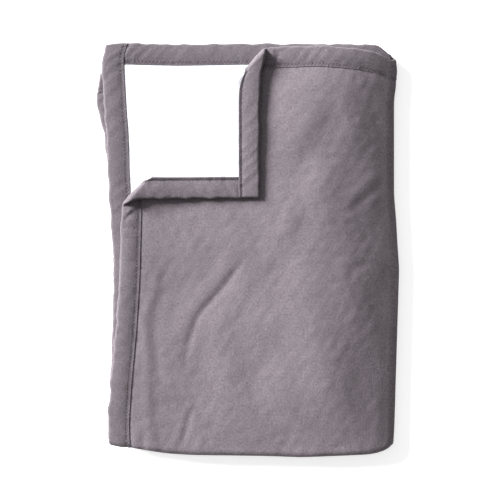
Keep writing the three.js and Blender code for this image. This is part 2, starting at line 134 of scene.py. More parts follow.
# Loft of the top leaf, across the pack, and how much of it there is along the pack
LOFT_ACROSS = [
    (-316, 1.6), (-285, 3.2), (-225, 0.8), (-170, 1.0), (-100, 4), (0, 9.4), (60, 13.2), (120, 17.8),
    (158, 20), (182, 19.6), (225, 15.2), (260, 10), (297, 4.8), (318, 2.0), (330, 0), (345, 0),
]
LOFT_ALONG = [
    (-480, 0.1), (-440, 0.34), (-390, 0.66), (-330, 0.9), (-260, 1), (300, 1), (390, 0.85), (440, 0.62),
    (480, 0.38),
]
LINE_LOFT = 0.45  # the share of the loft that is left on the turned corner's fold line
LOFT_FREE = 150.0  # how far inside that line the loft is whole again
FOLD_PRESS = 0.85  # the pack narrows by this share towards the side fold's outermost line
PRESS_START = 210.0
PRESS_STEEPNESS = 2.2
PRESSED_ARC = 0.86  # the side fold's arc, once pressed, against a round one

# Where the drifts and the creases reach: x of the places where each starts and where it is whole
LEFT_GROWS = (60.0, -350.0)
RIGHT_GROWS = (150.0, 350.0)
CREASES_FADE = (290.0, 325.0)
BULGE_REACH = 14.0  # how far round the side fold its outward bulge is whole

# The turned corner: how far it sinks to rest on the top leaf, over which share of the way from its fold line
# to its point, and how far it has slipped across the pack and along it, against that way in hundredths
CORNER_SINK = 6.6
SINK_START = 0.12
SINK_SPAN = 0.85
SLIP_ACROSS = [
    (0, 0), (3, 2), (8, 5), (12, 4), (15, 1.3), (20, -3.4), (30, -12), (40, -16), (60, -22), (80, -28.4),
    (100, -34.5),
]
SLIP_ALONG = [
    (0, 0), (5, -2), (10, -3), (15, 2), (20, 4.8), (30, 3.6), (40, 2.2), (60, 0), (80, -2.5), (100, -4.8),
]
BAND_KEPT = 0.25  # from this share of the way on, the bound edges keep their width as they slip
ROLL_STEP = 1.6  # the distance between the rows of faces round the corner's roll
ROLL_MARGIN = 2.0  # how far beyond the roll those rows go on
POINT_MARGIN = 3.0  # how far short of its point a layer of the corner ends

CREASE_FADE = 0.35  # the share of its run over which a crease fades, at each end
# Creases of the top leaf: the line that each follows, its half-width and its height
CREASES = [
    ([(-6, -20), (-60, -92), (-112, -150), (-134, -204), (-146, -262)], 9, -1.7),
    ([(-36, -20), (-86, -84), (-140, -150), (-166, -216)], 20, 1.6),
    ([(22, -50), (-36, -126), (-88, -200)], 18, 0.9),
    ([(-213, -50), (-218, -101), (-239, -161), (-232, -300), (-227, -463)], 13, 1.2),
    ([(-192, -60), (-198, -105), (-218, -165), (-208, -300)], 13, -1.0),
    ([(-128, -366), (-142, -410), (-152, -450)], 8, -1.4),
    ([(232, 88), (318, 154)], 11, -1.2),
    ([(222, 108), (304, 172)], 15, 1.0),
    ([(150, 92), (100, 0), (66, -64)], 26, -1.2),
    ([(112, 108), (70, 24), (30, -40)], 26, 1.1),
    ([(215, 330), (150, 226), (96, 160)], 30, -1.5),
    ([(170, 350), (108, 240), (60, 178)], 28, 1.2),
    ([(260, 300), (212, 210), (150, 120)], 30, 1.1),
    ([(120, -150), (40, -270), (-10, -330)], 34, -1.0),
    ([(70, -140), (0, -250), (-50, -320)], 34, 1.0),
    ([(230, -60), (278, -24)], 15, -0.9),
    ([(-262, -430), (-258, -480)], 8, 0.8),
    ([(-244, -425), (-240, -480)], 8, -0.7),
    ([(-206, -430), (-200, -480)], 9, -0.6),
    ([(-248, 118), (-254, 92)], 7, -1.5),
    ([(-262, 100), (-282, 82)], 5, 1.5),
    ([(-268, 88), (-288, 66)], 5, -1.5),
    ([(44, 462), (48, 438)], 6, -1.5),
    ([(55, 464), (59, 440)], 5, 1.4),
    ([(66, 462), (71, 440)], 5, -1.0),
]

# Edge binding and the quilted edge under it
BINDING_WIDTH = 50.0
TUCK = 42.0  # where the cover and the lining start, under the binding's lip
STITCH_AT = 44.5
STITCH_WIDTH = 5.6
STITCH_PERIOD = 8.0
THREAD_RADIUS = 0.5
THREAD_SIDES = 5
THREAD_MARGIN = 2.0  # how far from a strip's end its thread starts
ZIGZAG_POINTS = 8  # points of the thread in one zigzag
LAP_START = 44.0  # where a binding that runs under another one starts
BINDING_CLOTH = 0.9
BINDING_ROUND = 7.0
LAP_ENDS = (46.0, 54.0)  # from a lapping end, where the strip comes down to its own thickness
CLOSED_ROUND = 6.0  # how far from a turned-in end the strip is rounded
THINNED = 0.78  # a strip that runs under another one is this much thinner there
THINNED_REACH = 14.0

# Half-thickness against the distance from the edge: a binding, a binding over another one, the leaf
BINDING_THICKNESS = [
    (7, 4.5), (16, 5.2), (27, 5.1), (37, 4.1), (43, 3.0), (45, 3.0), (47, 3.9), (49, 4.0), (50, 3.6),
]
BINDING_LAPPED = [
    (7, 4.5), (16, 5.3), (30, 5.4), (37, 5.2), (43, 4.4), (45, 4.4), (47, 5.2), (49, 5.2), (50, 4.7),
]
FILLED_THICKNESS = [
    (0, 0.6), (6, 2.9), (16, 4.2), (28, 4.0), (38, 2.9), (44, 2.05), (50, 2.6), (60, 3.6), (74, 4.3),
    (88, 4.6),
]
FILLED_WIDTH = 90.0  # the leaf is drawn in as far from its edge as this

# Gathers along the stitches: where across the edge, how wide, which share of the height, and how their
# run along the edge is stretched and shifted
GATHERS = [(STITCH_AT, 9, 1.0, 1.0, 0), (56, 12, 0.45, 0.7, 300)]
GATHER_SLANT = 0.7
SOCKET = {"u": 220.0, "half": 17.3, "depth": 36.6}
JOIN_V = 528.0  # where two lengths of the upper side binding are sewn together
JOIN_DEPTH = 0.8
JOIN_WIDTH = 1.3

# Layers' edges and meshes
TAUPE = (0.168, 0.1445, 0.160)
TAUPE_BINDING = (0.143, 0.1235, 0.137)
HIDDEN_INSET = 8.0  # how far inside the edge a hidden layer starts
SOCKET_INSET = 40.0  # and at the edge that the socket sits in
# Distances between points on the top leaf, elsewhere and on the turned corner
SHOWN_STEPS = {"outer_cover": (4.4, 9.0, 4.0), "lining": (7.5, 9.0, 4.0)}
HIDDEN_STEPS = (7.5, 12.0, 8.0)
SIDE_FOLD_STEP = 1.8
OUTER_TURN = (16.4, 24.0)  # a pair of heights given for the side fold's outer strips
LEAD_TURN = (17.4, 23.0)  # and the lead inside it
SLOT_OF_LAYER = {"heater_carrier": "carrier"}  # the other layers have their own name

rng = np.random.default_rng(11)


# ---- the map from flat cloth to the pack


def smooth(x):
    x = np.clip(x, 0.0, 1.0)
    return x * x * (3 - 2 * x)


def ramp(x, start, end):
    """0 before start and 1 beyond end, with a smooth rise between them."""
    return smooth((x - start) / (end - start))


def profile(points, blur=14.0, step=2.0, reach=24, margin=150):
    """A smooth function through (place, value) pairs: sampled at a step, blurred over reach samples."""
    at, value = np.array(points, float).T
    dense = np.arange(at[0] - margin, at[-1] + margin, step)
    kernel = np.exp(-0.5 * (np.arange(-reach, reach + 1) * step / blur) ** 2)
    padded = np.pad(np.interp(dense, at, value), reach, mode="edge")
    rounded = np.convolve(padded, kernel / kernel.sum(), "valid")
    return lambda x: np.interp(x, dense, rounded)


def waves(count, shortest, longest, height):
    """A seeded sum of sine waves in all directions, about height high."""
    length = np.exp(rng.uniform(math.log(shortest), math.log(longest), count))
    turn = rng.uniform(0, 2 * math.pi, count)
    phase = rng.uniform(0, 2 * math.pi, count)
    scale = height * math.sqrt(2 / count)

    def field(x, y):
        total = np.zeros(np.shape(x))
        for l, a, p in zip(length, turn, phase):
            total = total + np.sin(2 * math.pi / l * (x * math.cos(a) + y * math.sin(a)) + p)
        return total * scale

    return field


def ripple(count, shortest, longest, height):
    """A seeded sum of sine waves along a line."""
    length = np.exp(rng.uniform(math.log(shortest), math.log(longest), count))
    phase = rng.uniform(0, 2 * math.pi, count)
    scale = height * math.sqrt(2 / count)

    def line(x):
        total = np.zeros(np.shape(x))
        for l, p in zip(length, phase):
            total = total + np.sin(2 * math.pi / l * x + p)
        return total * scale

    return line


left_lower, left_third, left_top = (profile(p) for p in (LEFT_OF_LOWER, LEFT_OF_THIRD, LEFT_OF_TOP))
top_lower, top_third, top_top = (profile(p, 9) for p in (TOP_OF_LOWER, TOP_OF_THIRD, TOP_OF_TOP))
right_edge, bottom_edge = profile(RIGHT, 11), profile(BOTTOM, 11)
loft_across, loft_along = profile(LOFT_ACROSS, 16), profile(LOFT_ALONG, 30)
slip_across, slip_along = profile(SLIP_ACROSS, 3), profile(SLIP_ALONG, 3)
swell = waves(16, 110, 320, 0.7)
unevenness = waves(30, 24, 60, 0.16)
pucker = ripple(14, 8, 24, 0.16)
gather = ripple(12, 22, 70, 0.2)
edge_wave = ripple(9, 30, 110, 0.7)


def steps(points):
    """A function that runs straight between (place, value) pairs."""
    at, value = np.array(points, float).T
    return lambda x: np.interp(x, at, value)


def folded(u, v, h):
    """Where the frame has a point of the flat blanket, in millimetres."""
    inner = LINING_GAP / 2 + LEAF - h
    first = np.clip(v / PAIR_RADIUS, -math.pi / 2, math.pi / 2)
    side = np.clip(u / SIDE_RADIUS + math.pi / 2, 0, math.pi)
    reach = SIDE_RADIUS + inner * np.sin(first)
    x = SIDE_FOLD_X - np.maximum(np.abs(u) - SIDE_FOLD_U, 0) + reach * np.sin(side)
    y = FIRST_FOLD_Y + np.maximum(np.abs(v) - FIRST_FOLD_V, 0) - inner * np.cos(first)
    return x, y, PACK_MIDDLE + reach * np.cos(side)


def unfolded(x, y, z):
    """The other way: the flat blanket's u, v, h at a point of the frame's lower or upper half."""
    high = z - PACK_MIDDLE
    turned_x = np.maximum(x - SIDE_FOLD_X, 0)
    side = np.where(turned_x > 0, np.arctan2(turned_x, high), np.where(high > 0, 0, math.pi))
    u = (side - math.pi / 2) * SIDE_RADIUS + np.sign(side - math.pi / 2) * np.maximum(SIDE_FOLD_X - x, 0)
    across = np.hypot(turned_x, high) - SIDE_RADIUS
    before = np.maximum(FIRST_FOLD_Y - y, 0)
    first = np.where(before > 0, np.arctan2(across, before), np.sign(across) * math.pi / 2)
    v = first * PAIR_RADIUS + np.sign(across) * np.maximum(y - FIRST_FOLD_Y, 0)
    return u, v, LINING_GAP / 2 + LEAF - np.hypot(across, before)


def drift(x, y, level):
    """How far cloth at a place and level of the pack has slipped from its drawn place."""
    lower = np.clip((LEVELS[2] - level) / (LEVELS[2] - LEVELS[1]), 0, 1)
    top = np.clip((level - LEVELS[2]) / (LEVELS[3] - LEVELS[2]), 0, 1)
    third = 1 - lower - top
    left = lower * left_lower(y) + third * left_third(y) + top * left_top(y)
    far = lower * top_lower(x) + third * top_third(x) + top * top_top(x)
    right = right_edge(y)
    # The side fold itself bulges outwards, but the leaves end on their own side of the joint
    bulge = np.maximum(right, 0) * smooth((x - SIDE_FOLD_X) / BULGE_REACH)
    dx = ramp(x, *LEFT_GROWS) * left + ramp(x, *RIGHT_GROWS) * np.minimum(right, 0) + bulge
    dy = ramp(y, 0, PACK_LENGTH / 2) * far + ramp(y, 0, -PACK_LENGTH / 2) * bottom_edge(x)
    return dx, dy


def crease_height(x, y):
    """The sum of the top leaf's creases, each fading out towards its ends."""
    total = np.zeros(np.shape(x))
    for line, width, height in CREASES:
        nearest = np.full(np.shape(x), 1e9)
        for (x0, y0), (x1, y1) in zip(line, line[1:]):
            length2 = (x1 - x0) ** 2 + (y1 - y0) ** 2
            t = np.clip(((x - x0) * (x1 - x0) + (y - y0) * (y1 - y0)) / length2, 0, 1)
            nearest = np.minimum(nearest, np.hypot(x - x0 - t * (x1 - x0), y - y0 - t * (y1 - y0)))
        (x0, y0), (x1, y1) = line[0], line[-1]
        span = math.hypot(x1 - x0, y1 - y0)
        run = ((x - x0) * (x1 - x0) + (y - y0) * (y1 - y0)) / span**2
        fade = smooth(run / CREASE_FADE + CREASE_FADE) * smooth((1 - run) / CREASE_FADE + CREASE_FADE)
        total = total + height * fade * np.exp(-((nearest / width) ** 2))
    return total


def press(x):
    """The share by which the pack is flatter at a place across it."""
    return FOLD_PRESS * (np.maximum(x - PRESS_START, 0) / (PACK_WIDTH / 2 - PRESS_START)) ** PRESS_STEEPNESS


def settled(x, y, z, level):
    """The height that cloth at a place of the pack settles to."""
    share = np.interp(level, LEVELS, LOFT_SHARE)
    uneven = (1 - ramp(x, *CREASES_FADE)) * (crease_height(x, y) + swell(x, y) + unevenness(x, y))
    line_x, line_y = PACK_LINE
    inside = (line_x - x) * OUTWARD[0] + (line_y - y) * OUTWARD[1]
    held = LINE_LOFT + (1 - LINE_LOFT) * smooth(inside / LOFT_FREE)
    loft = held * loft_across(x) * loft_along(y) + uneven
    return PACK_MIDDLE + (z - PACK_MIDDLE) * (1 - press(x)) + share * loft


def beyond_line(u, v):
    """How far a point lies beyond the turned corner's fold line."""
    return (u - LINE_START[0]) * OUTWARD[0] + (v - LINE_START[1]) * OUTWARD[1]


def turned(u, v, h):
    """Where the frame has a point of the turned corner, and its foot on the fold line."""
    beyond = beyond_line(u, v)
    angle = np.clip(beyond / ROLL_RADIUS, 0, math.pi)
    radius = ROLL_INNER + h
    reach = radius * np.sin(angle) - np.maximum(beyond - ROLL_LENGTH, 0) - beyond
    x, y, z = folded(u + reach * OUTWARD[0], v + reach * OUTWARD[1], 0)
    return x, y, z + ROLL_INNER - radius * np.cos(angle), u - beyond * OUTWARD[0], v - beyond * OUTWARD[1]


def place(u, v, h, corner=False):
    """The blanket's flat coordinates, in millimetres, to points of the folded pack, in metres."""
    if corner:
        x, y, z, foot_u, foot_v = turned(u, v, h)
        foot_x, foot_y, level = folded(foot_u, foot_v, MIDDLE)
        dx, dy = drift(foot_x, foot_y, level)
        share = np.clip(beyond_line(u, v) / CORNER_DEPTH, 0, 1)
        from_line = smooth(share / BAND_KEPT) / CORNER_DEPTH
        head_edge = OUTWARD[1] * np.clip(EDGE_V - v, 0, BINDING_WIDTH) * from_line
        side_edge = -OUTWARD[0] * np.clip(u - UPPER_U, 0, BINDING_WIDTH) * from_line
        dx = dx + slip_across(100 * (share + head_edge))
        dy = dy + slip_along(100 * (share + side_edge))
        z = z - CORNER_SINK * smooth((share - SINK_START) / SINK_SPAN)
    else:
        x, y, z = folded(u, v, h)
        middle_x, middle_y, level = folded(u, v, MIDDLE)
        dx, dy = drift(middle_x, middle_y, level)
    return np.stack([x + dx, y + dy, settled(x + dx, y + dy, z, level)], -1) * MM


ROLL_LEVEL = folded(UPPER_U, EDGE_V, 0)[2] + ROLL_INNER  # the height of the middle of the corner's roll


# ---- thickness near the bound edges


filled = steps(FILLED_THICKNESS)
bound = steps(BINDING_THICKNESS)
lapped = steps(BINDING_LAPPED)


def seam_pucker(a, along):
    """Gathers that the stitches draw across the edge, strongest on the stitch line."""
    total = 0.0
    for at, width, share, stretch, shift in GATHERS:
        total = total + share * pucker(along * stretch + shift) * np.exp(-(((a - at) / width) ** 2))
    return total


def quilted(u, v, h):
    """h, once the leaf is drawn in towards its sewn edges."""
    edges = np.stack([u - UPPER_U, LOWER_U - u, EDGE_V - v, EDGE_V + v])
    a = edges.min(0)
    along = np.where(edges.argmin(0) < 2, v, u)
    half = filled(a) + np.where(a < FILLED_WIDTH, seam_pucker(a, along), 0)
    return MIDDLE + (h - MIDDLE) * half / MIDDLE


def panel_point(u, v, h, corner=False):
    return place(u, v, quilted(u, v, h), corner)


# ---- meshes


def link(obj):
    bpy.context.scene.collection.objects.link(obj)
    return obj


def mesh_object(name, points, quads, normals=None, **uv_maps):
    """An object from points and four-cornered faces. Each uv map has one (x, y) for each point."""
    mesh = bpy.data.meshes.new(name)
    mesh.vertices.add(len(points))
    mesh.vertices.foreach_set("co", np.asarray(points, np.float32).ravel())
    mesh.loops.add(quads.size)
    mesh.loops.foreach_set("vertex_index", quads.astype(np.int32).ravel())
    mesh.polygons.add(len(quads))
    mesh.polygons.foreach_set("loop_start", np.arange(0, quads.size, 4, dtype=np.int32))
    mesh.update(calc_edges=True)
    mesh.shade_smooth()
    for title, uv in uv_maps.items():
        layer = mesh.uv_layers.new(name=title)
        layer.data.foreach_set("uv", np.asarray(uv, np.float32)[quads.ravel()].ravel())
    if normals is not None:
        mesh.normals_split_custom_set_from_vertices(np.asarray(normals, np.float64).tolist())
    return link(bpy.data.objects.new(name, mesh))


def grid_quads(rows, columns, closed=False):
    """Faces between the points of a grid, which may close on itself across its columns."""
    i = np.arange(rows - 1)[:, None]
    j = np.arange(columns if closed else columns - 1)[None, :]
    k = (j + 1) % columns
    a, b, c, d = i * columns + j, (i + 1) * columns + j, (i + 1) * columns + k, i * columns + k
    return np.stack([a, b, c, d], -1).reshape(-1, 4)


def unit(vectors):
    return vectors / np.maximum(np.linalg.norm(vectors, axis=-1, keepdims=True), 1e-12)


def extended(lines):
    """The lines, with one more beyond each end, so that pieces that meet shade alike."""
    return np.concatenate([[lines[0] - 1.0], lines, [lines[-1] + 1.0]])


def surface(point, rows, columns):
    """Points and normals of point(row, column) on a grid of lines."""
    r, c = np.meshgrid(extended(rows), extended(columns), indexing="ij")
    p = point(r, c)
    normal = unit(np.cross(p[2:, 1:-1] - p[:-2, 1:-1], p[1:-1, 2:] - p[1:-1, :-2]))
    return p[1:-1, 1:-1], normal


def slab(name, flat, rows, columns, faces, corner=False):
    """A closed sheet of cloth between two values of h. flat(row, column) gives u and v."""
    sides = []
    for h in faces:
        sides.append(surface(lambda r, c: panel_point(*flat(r, c), h, corner), rows, columns))
    (outer, outer_normal), (inner, inner_normal) = sides
    flip = np.sum(outer_normal * (outer - inner)) < 0
    if flip:
        outer_normal = -outer_normal
    if np.sum(inner_normal * (inner - outer)) < 0:
        inner_normal = -inner_normal
    n_rows, n_columns = outer.shape[:2]
    count = n_rows * n_columns
    top = grid_quads(n_rows, n_columns)
    index = np.arange(count).reshape(n_rows, n_columns)
    loop = np.concatenate([index[0, :-1], index[:-1, -1], index[-1, :0:-1], index[:0:-1, 0]])
    following = np.roll(loop, -1)
    rim = np.stack([loop, following, following + count, loop + count], -1)
    quads = np.concatenate([top, top[:, ::-1] + count, rim])
    if flip:
        quads = quads[:, ::-1]
    r, c = np.meshgrid(rows, columns, indexing="ij")
    uv = np.stack(flat(r, c), -1).reshape(-1, 2) * MM
    return mesh_object(
        name,
        np.concatenate([outer.reshape(-1, 3), inner.reshape(-1, 3)]),
        quads,
        np.concatenate([outer_normal.reshape(-1, 3), inner_normal.reshape(-1, 3)]),
        cloth=np.concatenate([uv, uv]),
    )


def lines(start, end, step):
    """Evenly spaced lines from start to end, about step apart."""
    return np.linspace(start, end, max(2, int(round(abs(end - start) / step)) + 1))


# ---- panels


def straight_panel(name, u_range, v_range, faces, step_u, step_v):
    return slab(name, lambda r, c: (r, c), lines(*u_range, step_u), lines(*v_range, step_v), faces)


def line_u(v):
    """u on the turned corner's fold line."""
    return LINE_START[0] + (v - EDGE_V) * CORNER_LEG_U / CORNER_LEG_V


def upper_panel(name, inset, faces, step, far_step):
    """The upper half's two leaves, cut off along the turned corner's fold line."""

    def flat(r, v):
        start = np.maximum(UPPER_U + inset, line_u(v))
        return start + (r - UPPER_U) / (-SIDE_FOLD_U - UPPER_U) * (-SIDE_FOLD_U - start), v

    rows = lines(UPPER_U, -SIDE_FOLD_U, step)
    columns = np.concatenate([lines(-EDGE_V + inset, 0, far_step)[:-1], lines(0, EDGE_V - inset, step)])
    return slab(name, flat, rows, columns, faces)


def corner_panel(name, inset, faces, step, creased):
    """The turned corner, from its fold line to just short of its point.

    A creased layer has one wide row of faces round its roll."""

    def flat(beyond, s):
        head = -(inset + OUTWARD[1] * beyond) / ALONG[1]
        side = (inset - CORNER_LEG_U - OUTWARD[0] * beyond) / ALONG[0]
        t = head + (side - head) * s / LEG
        return (
            LINE_START[0] + ALONG[0] * t + OUTWARD[0] * beyond,
            LINE_START[1] + ALONG[1] * t + OUTWARD[1] * beyond,
        )

    depth = CORNER_DEPTH - inset * (CORNER_LEG_U + CORNER_LEG_V) / LEG - POINT_MARGIN
    roll = lines(0, ROLL_LENGTH + ROLL_MARGIN, ROLL_STEP)
    if creased:
        roll = roll[np.abs(roll - ROLL_LENGTH / 2) > ROLL_CREASE]
    rows = np.concatenate([roll[:-1], lines(ROLL_LENGTH + ROLL_MARGIN, depth, step)])
    return slab(name, flat, rows, lines(0, LEG, step), faces, corner=True)


# ---- bindings

# Distances from the edge at which a strip has a point, from its lip to the edge
SECTION = np.array([50, 49, 47.5, 46, 44.5, 43, 41, 38, 34, 29, 23, 17, 12, 8, 5.2, 3, 1.5, 0.5, 0])


def binding_half(a, along, to_start, to_end, join):
    """Half the thickness of a bound edge at a distance a from the edge."""
    lap = np.maximum(1 - ramp(to_start, *LAP_ENDS), 1 - ramp(to_end, *LAP_ENDS))
    half = bound(a) * (1 - lap) + lapped(a) * lap
    inside = np.clip(a / BINDING_ROUND, 0, 1)
    half = half * np.sqrt(1 - (1 - inside) ** 2)
    closing = np.clip(np.minimum(to_start, to_end) / CLOSED_ROUND, 0, 1)
    half = half * np.sqrt(1 - (1 - closing) ** 2)
    if join is not None:
        half = half - JOIN_DEPTH * np.exp(-(((along - join) / JOIN_WIDTH) ** 2)) * ramp(a, 0, 10)
    loose = ramp(a, 0, 12) * ramp(a, 47, 31)
    return half + (seam_pucker(a, along) + loose * gather(along + GATHER_SLANT * a)) * closing


class Strip:
    """A binding strip, folded over one of the blanket's edges from one place along it to another.

    edge is "side" or "end", at its u or v. start and end may depend on a, the distance from the edge.
    At an end that closed names, the strip is turned in, and laps over the strip beside it. At one that
    thin names, it runs under its neighbour. join is the place of a seam across it, and notch is a cut for
    the socket. step is the distance between its rings of points."""

    def __init__(
        self, edge, at, start, end, closed=(), thin=(), corner=False, join=None, notch=None, step=3.2
    ):
        self.edge, self.at, self.start, self.end = edge, at, start, end
        self.closed, self.thin, self.corner = closed, thin, corner
        self.join, self.notch, self.step = join, notch, step
        self.length = abs(end(0.0) - start(0.0))

    def along(self, s, a):
        """Place along the edge, for s from 0 to 1."""
        return self.start(a) + s * (self.end(a) - self.start(a))

    def flat(self, s, a):
        """u and v of a place on the strip, whose edge is a little wavy."""
        place_along = self.along(s, a)
        wave = edge_wave(place_along + self.at) * np.clip(1 - a / BINDING_WIDTH, 0, 1)
        inward = a + wave if self.at < 0 else -a - wave
        if self.edge == "side":
            return self.at + inward, place_along
        return place_along, self.at + inward

    def half(self, s, a):
        """Half the strip's thickness."""
        along = self.along(s, a)
        far = 1e3 * np.ones(np.shape(along))
        to_start = np.abs(along - self.start(0.0)) if "start" in self.closed else far
        to_end = np.abs(along - self.end(0.0)) if "end" in self.closed else far
        half = binding_half(a, along, to_start, to_end, self.join)
        for end in self.thin:
            gap = np.abs(along - (self.start(0.0) if end == "start" else self.end(0.0)))
            half = half * (THINNED + (1 - THINNED) * smooth(gap / THINNED_REACH))
        return half

    def point(self, s, a, offset):
        """A point at offset from the leaf's middle."""
        u, v = self.flat(s, a)
        return place(u, v, MIDDLE + offset, self.corner)

    def stations(self):
        """The values of s that have a ring of points: closer at a join, a notch or a closed end."""
        s = lines(0.0, self.length, self.step) / self.length
        extra = []
        if self.join is not None:
            where = (self.join - self.start(0.0)) / (self.end(0.0) - self.start(0.0))
            extra.append(where + np.array([-3, -2, -1.2, -0.6, 0, 0.6, 1.2, 2, 3]) / self.length)
        if self.notch is not None:
            for cut in (self.notch["u"] - self.notch["half"], self.notch["u"] + self.notch["half"]):
                where = (cut - self.start(0.0)) / (self.end(0.0) - self.start(0.0))
                extra.append(where + np.array([-0.1, 0.1]) / self.length)
        for end in self.closed:
            near = np.array([0, 0.4, 1.2, 2.4, 4, 6]) / self.length
            extra.append(near if end == "start" else 1 - near)
        if extra:
            extra = np.concatenate(extra)
            clear = s[np.abs(s[:, None] - extra).min(1) > 0.4 / self.length]
            s = np.unique(np.round(np.concatenate([clear, extra]), 7))
        return s

    def rings(self, s):
        """Points of the strip's folded cloth at each s, and their distances from the edge. A ring goes along
        the outer face from lip to lip, and back along the inner one. One more ring lies beyond each end."""
        ext = np.concatenate([[s[0] - 1 / self.length], s, [s[-1] + 1 / self.length]])
        if "start" in self.closed:
            ext[0] = s[0]
        if "end" in self.closed:
            ext[-1] = s[-1]
        ring_a = np.concatenate([SECTION, SECTION[-2::-1]])
        sign = np.concatenate([-np.ones(len(SECTION)), np.ones(len(SECTION) - 1)])
        grid_s, grid_a = np.meshgrid(ext, ring_a, indexing="ij")
        if self.notch is not None:
            along = self.along(grid_s, 0.0)
            cut = np.abs(along - self.notch["u"]) < self.notch["half"]
            grid_a = np.where(cut, np.maximum(grid_a, self.notch["depth"]), grid_a)
        half = self.half(grid_s, grid_a)
        outer = self.point(grid_s, grid_a, sign * half)
        inner_a = np.maximum(grid_a, BINDING_CLOTH * 1.2)
        inner_half = np.maximum(self.half(grid_s, inner_a) - BINDING_CLOTH, 0.25)
        inner = self.point(grid_s, inner_a, sign * np.minimum(inner_half, half * 0.8 + 0.02))
        return np.concatenate([outer, inner[:, ::-1]], 1), np.concatenate([grid_a, inner_a[:, ::-1]], 1)

    def mesh(self, name):
        s = self.stations()
        ring, ring_a = self.rings(s)
        columns = ring.shape[1]
        across = np.roll(ring, -1, 1) - np.roll(ring, 1, 1)
        normal = unit(np.cross(ring[2:] - ring[:-2], across[1:-1]))
        points = ring[1:-1]
        outward = points[:, : columns // 2] - points[:, : columns // 2 - 1 : -1]
        quads = grid_quads(len(s), columns, closed=True)
        half_ring = np.arange(columns // 2 - 1)
        cap = np.stack([half_ring, half_ring + 1, columns - 2 - half_ring, columns - 1 - half_ring], -1)
        quads = np.concatenate([quads, cap, cap[:, ::-1] + (len(s) - 1) * columns])
        if np.sum(normal[:, : columns // 2] * outward) < 0:
            normal, quads = -normal, quads[:, ::-1]
        a2 = ring_a[1:-1]
        s2 = np.repeat(s[:, None], columns, 1)
        uv = np.stack(self.flat(s2, a2), -1).reshape(-1, 2) * MM
        seam = np.stack([self.along(s2, a2), a2], -1).reshape(-1, 2) * MM
        return mesh_object(name, points.reshape(-1, 3), quads, normal.reshape(-1, 3), cloth=uv, seam=seam)

    def thread(self, sign):
        """The centreline of the zigzag on one face. It dips into the cloth at each end of a stitch."""
        begin, end = sorted([self.along(0.0, STITCH_AT), self.along(1.0, STITCH_AT)])
        count = int((end - begin - 2 * THREAD_MARGIN) / STITCH_PERIOD) * ZIGZAG_POINTS
        along = begin + THREAD_MARGIN + np.arange(count) * STITCH_PERIOD / ZIGZAG_POINTS
        phase = (along / STITCH_PERIOD) % 1.0
        swing = 2 * np.abs(2 * phase - 1) - 1
        a = STITCH_AT + swing * STITCH_WIDTH / 2
        s = (along - self.start(a)) / (self.end(a) - self.start(a))
        lift = THREAD_RADIUS * 0.7 - 1.1 * np.maximum(np.abs(swing) - 0.6, 0) / 0.4
        return self.point(s, a, sign * (self.half(s, a) + lift))


def tube(path, radius, sides):
    """Points and faces of a thin round tube along a path."""
    tangent = unit(np.gradient(path, axis=0))
    side = unit(np.cross(tangent, [0.0, 0.0, 1.0]))
    up = np.cross(side, tangent)
    angle = np.arange(sides) * 2 * math.pi / sides
    ring = np.cos(angle)[None, :, None] * side[:, None] + np.sin(angle)[None, :, None] * up[:, None]
    return (path[:, None] + radius * ring).reshape(-1, 3), grid_quads(len(path), sides, closed=True)[:, ::-1]


def thread_object(name, strips):
    """One piece of all the zigzag stitches of some strips, on both faces."""
    around = np.arange(THREAD_SIDES) / THREAD_SIDES
    points, quads, uv, count = [], [], [], 0
    for strip in strips:
        for sign in (-1, 1):
            path = strip.thread(sign)
            p, q = tube(path, THREAD_RADIUS * MM, THREAD_SIDES)
            points.append(p)
            quads.append(q + count)
            length = np.concatenate([[0], np.cumsum(np.linalg.norm(np.diff(path, axis=0), axis=1))])
            uv.append(np.stack([np.repeat(length, THREAD_SIDES), np.tile(around, len(path))], -1))
            count += len(p)
    return mesh_object(name, np.concatenate(points), np.concatenate(quads), cloth=np.concatenate(uv))


# ---- materials


